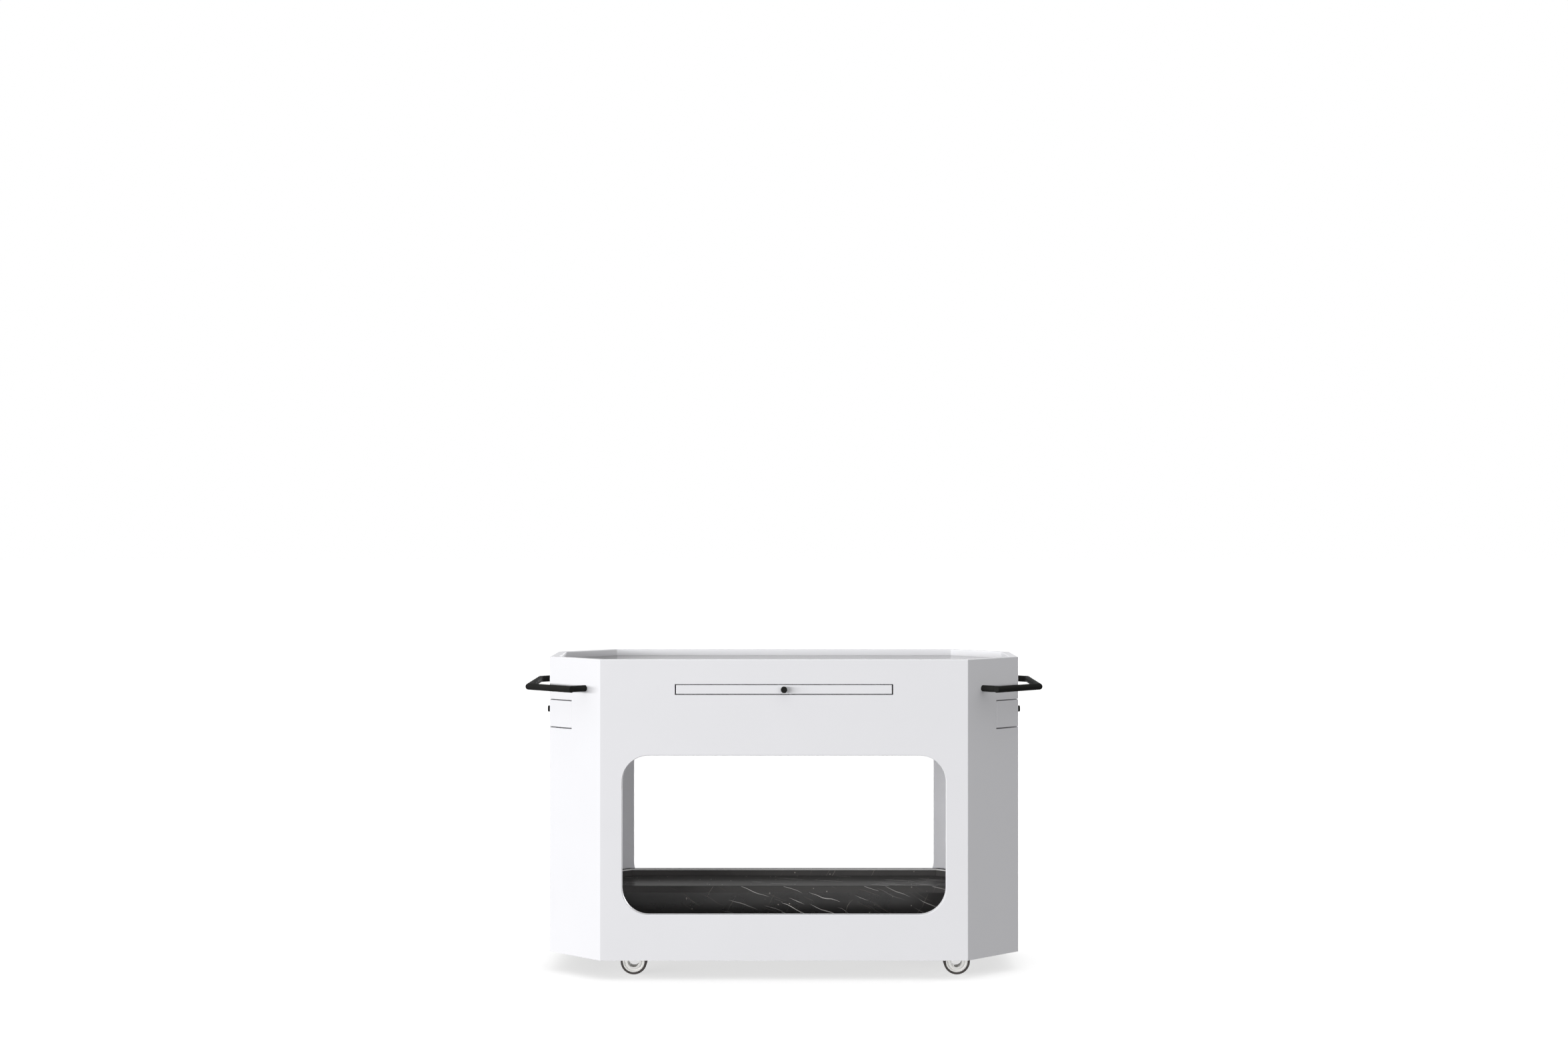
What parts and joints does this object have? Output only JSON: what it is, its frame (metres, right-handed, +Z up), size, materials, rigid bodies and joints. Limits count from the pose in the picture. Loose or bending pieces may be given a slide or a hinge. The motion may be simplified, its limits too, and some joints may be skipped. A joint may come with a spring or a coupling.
{
  "type": "bar cart",
  "caption": "Eight-sided white bar cart on swivel ring casters, with a see-through stone bottle bay, recessed worktop, front pull-out board, end drawers and black wrap-round handles.",
  "frame": {"origin": "on the floor, under the middle of the cabinet", "axes": "+X along the cart towards its right end, -Y towards the front with the pull-out board, +Z up"},
  "size_m": [1.477, 0.6335, 0.9],
  "materials": {
    "white_lacquer": "satin lacquer on board",
    "black_marble": "polished, white veins",
    "white_board": "melamine-faced board",
    "black_stained_wood": "stained",
    "beech": "oiled",
    "birch_ply": "clear lacquer",
    "black_powder_coat": "satin powder coat",
    "zinc_plated_steel": "zinc plated",
    "grey_nylon": "moulded",
    "tyre": "soft tread"
  },
  "bodies": {
    "cart": {"front_panel": "white_lacquer", "rear_panel": "white_lacquer", "front_left_corner_panel": "white_lacquer", "front_right_corner_panel": "white_lacquer", "rear_left_corner_panel": "white_lacquer", "rear_right_corner_panel": "white_lacquer", "left_end_lower_panel": "white_lacquer", "left_end_upper_panel": "white_lacquer", "right_end_lower_panel": "white_lacquer", "right_end_upper_panel": "white_lacquer", "worktop_slab": "black_marble", "trough_floor_slab": "black_marble", "step_riser_slab": "black_marble", "step_shelf_slab": "black_marble", "shelf_lips": "black_marble", "drawer_deck": "white_board", "base_board": "white_board", "wall_battens": "white_board", "drawer_runner_boards": "white_board", "shelf_battens": "black_stained_wood", "pullout_runners": "black_stained_wood", "left_handle": "black_powder_coat", "right_handle": "black_powder_coat", "left_slide_cabinet_members": "zinc_plated_steel", "right_slide_cabinet_members": "zinc_plated_steel", "handle_bolts": "zinc_plated_steel", "caster_plates": "zinc_plated_steel", "swivel_bearings": "zinc_plated_steel"},
    "pullout": {"pullout_front": "white_lacquer", "pullout_board": "beech", "pullout_knob": "black_powder_coat"},
    "left_drawer": {"left_drawer_front": "white_lacquer", "left_drawer_walls": "birch_ply", "left_drawer_floor": "birch_ply", "left_drawer_knob": "black_powder_coat", "left_slide_inner_members": "zinc_plated_steel"},
    "left_slide_middle": {"left_slide_middle_members": "zinc_plated_steel"},
    "right_drawer": {"right_drawer_front": "white_lacquer", "right_drawer_walls": "birch_ply", "right_drawer_floor": "birch_ply", "right_drawer_knob": "black_powder_coat", "right_slide_inner_members": "zinc_plated_steel"},
    "right_slide_middle": {"right_slide_middle_members": "zinc_plated_steel"},
    "front_left_swivel": {"front_left_fork": "grey_nylon"},
    "front_left_wheel": {"front_left_axle": "grey_nylon", "front_left_rims": "grey_nylon", "front_left_tyres": "tyre"},
    "front_right_swivel": {"front_right_fork": "grey_nylon"},
    "front_right_wheel": {"front_right_axle": "grey_nylon", "front_right_rims": "grey_nylon", "front_right_tyres": "tyre"},
    "rear_left_swivel": {"rear_left_fork": "grey_nylon"},
    "rear_left_wheel": {"rear_left_axle": "grey_nylon", "rear_left_rims": "grey_nylon", "rear_left_tyres": "tyre"},
    "rear_right_swivel": {"rear_right_fork": "grey_nylon"},
    "rear_right_wheel": {"rear_right_axle": "grey_nylon", "rear_right_rims": "grey_nylon", "rear_right_tyres": "tyre"}
  },
  "joints": [
    {"name": "pullout_slide", "type": "slide", "parent": "cart", "child": "pullout", "axis": [0, -1, 0], "range_m": [0, 0.3]},
    {"name": "left_drawer_slide", "type": "slide", "parent": "cart", "child": "left_drawer", "axis": [-1, 0, 0], "range_m": [0, 0.3]},
    {"name": "left_slide_middle_travel", "type": "slide", "parent": "cart", "child": "left_slide_middle", "axis": [-1, 0, 0], "range_m": [0, 0.15]},
    {"name": "right_drawer_slide", "type": "slide", "parent": "cart", "child": "right_drawer", "axis": [1, 0, 0], "range_m": [0, 0.3]},
    {"name": "right_slide_middle_travel", "type": "slide", "parent": "cart", "child": "right_slide_middle", "axis": [1, 0, 0], "range_m": [0, 0.15]},
    {"name": "front_left_swivel_turn", "type": "hinge", "parent": "cart", "child": "front_left_swivel", "pos_m": [-0.459, -0.194, 0.09], "axis": [0, 0, 1], "continuous": true},
    {"name": "front_left_wheel_spin", "type": "hinge", "parent": "front_left_swivel", "child": "front_left_wheel", "pos_m": [-0.427, -0.194, 0.0375], "axis": [0, 1, 0], "continuous": true},
    {"name": "front_right_swivel_turn", "type": "hinge", "parent": "cart", "child": "front_right_swivel", "pos_m": [0.459, -0.194, 0.09], "axis": [0, 0, 1], "continuous": true},
    {"name": "front_right_wheel_spin", "type": "hinge", "parent": "front_right_swivel", "child": "front_right_wheel", "pos_m": [0.491, -0.194, 0.0375], "axis": [0, 1, 0], "continuous": true},
    {"name": "rear_left_swivel_turn", "type": "hinge", "parent": "cart", "child": "rear_left_swivel", "pos_m": [-0.459, 0.194, 0.09], "axis": [0, 0, 1], "continuous": true},
    {"name": "rear_left_wheel_spin", "type": "hinge", "parent": "rear_left_swivel", "child": "rear_left_wheel", "pos_m": [-0.427, 0.194, 0.0375], "axis": [0, 1, 0], "continuous": true},
    {"name": "rear_right_swivel_turn", "type": "hinge", "parent": "cart", "child": "rear_right_swivel", "pos_m": [0.459, 0.194, 0.09], "axis": [0, 0, 1], "continuous": true},
    {"name": "rear_right_wheel_spin", "type": "hinge", "parent": "rear_right_swivel", "child": "rear_right_wheel", "pos_m": [0.491, 0.194, 0.0375], "axis": [0, 1, 0], "continuous": true}
  ],
  "couplings": [
    {"joint": "left_slide_middle_travel", "follows": "left_drawer_slide", "ratio": 0.5},
    {"joint": "right_slide_middle_travel", "follows": "right_drawer_slide", "ratio": 0.5}
  ]
}
